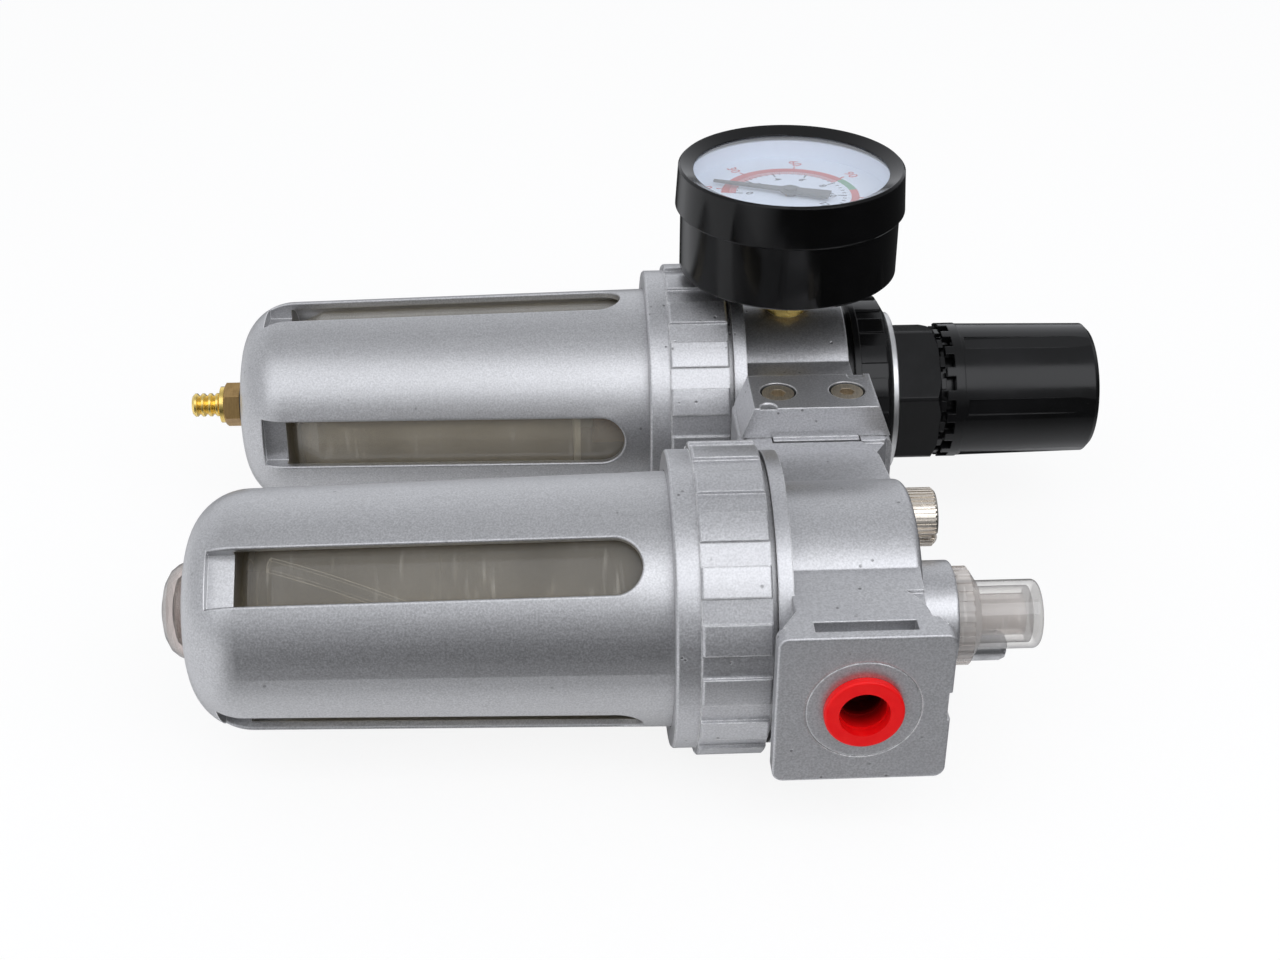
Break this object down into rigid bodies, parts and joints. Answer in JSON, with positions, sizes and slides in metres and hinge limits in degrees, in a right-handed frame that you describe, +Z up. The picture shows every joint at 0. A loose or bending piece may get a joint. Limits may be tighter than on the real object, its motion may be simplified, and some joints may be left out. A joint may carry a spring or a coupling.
{
  "type": "air filter-regulator and lubricator unit",
  "caption": "In-line compressed-air service unit: a filter-regulator with a dial gauge and locking knob, clamped to an oil-mist lubricator, each with a bowl in a windowed metal guard.",
  "frame": {"origin": "centre of the inlet port's mouth", "axes": "+Z up in use towards the knob, +X the way the air flows from the regulator to the lubricator, -Y the front with the gauge"},
  "size_m": [0.1662, 0.0909, 0.2174],
  "materials": {
    "cast": "satin silver coat over a rough casting",
    "guard": "fine satin silver",
    "black": "satin black moulding",
    "gloss_black": "glossy black enamel",
    "brass": "turned brass",
    "steel": "plated steel",
    "nickel": "nickel plate",
    "alloy": "turned aluminium",
    "clear": "clear moulded plastic",
    "dial": "printed white",
    "white": "moulded white plastic",
    "sinter": "sintered bronze, porous",
    "rubber": "black rubber",
    "spring": "spring wire",
    "red": "soft red plastic"
  },
  "bodies": {
    "unit": {"regulator_body": "cast", "diaphragm": "rubber", "pressure_plate": "alloy", "bonnet_ring": "black", "bonnet_plate": "alloy", "bonnet": "black", "regulating_spring": "spring", "valve_spring": "spring", "deflector": "white", "filter_element": "sinter", "baffle": "white", "gauge_case": "gloss_black", "gauge_bezel": "gloss_black", "gauge_glass": "clear", "gauge_dial": "dial", "gauge_movement": "brass", "gauge_stem": "brass", "lubricator_body": "cast", "dome_ring": "clear", "sight_dome": "clear", "drip_tube": "white", "siphon_tube": "clear", "interface_block": "cast", "interface_seals": "rubber", "clamp_front": "cast", "clamp_back": "cast", "clamp_screws": "steel"},
    "adjuster": {"adjusting_screw": "steel"},
    "knob": {"knob": "black"},
    "spring_nut": {"spring_nut": "brass"},
    "valve": {"valve_stem": "brass"},
    "pointer": {"gauge_pointer": "black"},
    "filter_bowl_set": {"filter_bowl": "clear", "filter_seal": "rubber", "filter_guard": "guard", "drain_washer": "rubber", "drain_nut": "brass"},
    "filter_collar": {"filter_ring": "cast"},
    "drain_seal": {"drain_seal": "rubber"},
    "drain_cock": {"drain_barb": "brass"},
    "oil_bowl_set": {"lubricator_bowl": "clear", "lubricator_seal": "rubber", "lubricator_guard": "guard"},
    "oil_collar": {"lubricator_ring": "cast"},
    "filler_seal": {"filler_seal": "rubber"},
    "filler_plug": {"filler_plug": "nickel"},
    "drip_seal": {"drip_seal": "rubber"},
    "drip_screw": {"drip_screw": "alloy"},
    "outlet_plug": {"outlet_plug": "red"}
  },
  "joints": [
    {"name": "knob_turn", "type": "hinge", "parent": "unit", "child": "adjuster", "pos_m": [0.03865, 0, 0.05], "axis": [0, 0, 1], "range_deg": [-960, 960]},
    {"name": "knob_lock", "type": "slide", "parent": "adjuster", "child": "knob", "axis": [0, 0, 1], "range_m": [-0.0013, 0]},
    {"name": "spring_nut_travel", "type": "slide", "parent": "unit", "child": "spring_nut", "axis": [0, 0, 1], "range_m": [-0.00401, 0.00401], "deforming": ["regulating_spring"]},
    {"name": "valve_lift", "type": "slide", "parent": "unit", "child": "valve", "axis": [0, 0, 1], "range_m": [-0.0012, 0], "deforming": ["valve_spring"]},
    {"name": "pointer_sweep", "type": "hinge", "parent": "unit", "child": "pointer", "pos_m": [0.03865, -0.0525, -0.0009], "axis": [0, 1, 0], "range_deg": [0, 177]},
    {"name": "filter_bowl_drop", "type": "slide", "parent": "unit", "child": "filter_bowl_set", "axis": [0, 0, -1], "range_m": [0, 0.0075]},
    {"name": "filter_collar_turn", "type": "hinge", "parent": "filter_bowl_set", "child": "filter_collar", "pos_m": [0.03865, 0, -0.025], "axis": [0, 0, 1], "range_deg": [-1800.1, 0]},
    {"name": "drain_travel", "type": "slide", "parent": "filter_bowl_set", "child": "drain_seal", "axis": [0, 0, -1], "range_m": [0, 0.0008]},
    {"name": "drain_turn", "type": "hinge", "parent": "drain_seal", "child": "drain_cock", "pos_m": [0.03865, 0, -0.135], "axis": [0, 0, -1], "range_deg": [0, 360.1]},
    {"name": "oil_bowl_drop", "type": "slide", "parent": "unit", "child": "oil_bowl_set", "axis": [0, 0, -1], "range_m": [0, 0.0075]},
    {"name": "oil_collar_turn", "type": "hinge", "parent": "oil_bowl_set", "child": "oil_collar", "pos_m": [0.12585, 0, -0.025], "axis": [0, 0, 1], "range_deg": [-1800.1, 0]},
    {"name": "filler_rise", "type": "slide", "parent": "unit", "child": "filler_seal", "axis": [0, 0, 1], "range_m": [0, 0.004]},
    {"name": "filler_turn", "type": "hinge", "parent": "filler_seal", "child": "filler_plug", "pos_m": [0.11625, -0.012, 0.02], "axis": [0, 0, 1], "range_deg": [0, 1440.1]},
    {"name": "drip_rise", "type": "slide", "parent": "unit", "child": "drip_seal", "axis": [0, 0, 1], "range_m": [0, 0.0015]},
    {"name": "drip_turn", "type": "hinge", "parent": "drip_seal", "child": "drip_screw", "pos_m": [0.12705, 0.0132, 0.03], "axis": [0, 0, 1], "range_deg": [0, 1080.1]},
    {"name": "plug_pull", "type": "slide", "parent": "unit", "child": "outlet_plug", "axis": [1, 0, 0], "range_m": [0, 0.0095]}
  ],
  "couplings": [
    {"joint": "spring_nut_travel", "follows": "knob_turn", "m_per_rad": 0.00023873},
    {"joint": "filter_collar_turn", "follows": "filter_bowl_drop", "rad_per_m": -4188.8},
    {"joint": "oil_collar_turn", "follows": "oil_bowl_drop", "rad_per_m": -4188.8},
    {"joint": "drain_turn", "follows": "drain_travel", "rad_per_m": 7854},
    {"joint": "filler_turn", "follows": "filler_rise", "rad_per_m": 6283.2},
    {"joint": "drip_turn", "follows": "drip_rise", "rad_per_m": 12566}
  ]
}
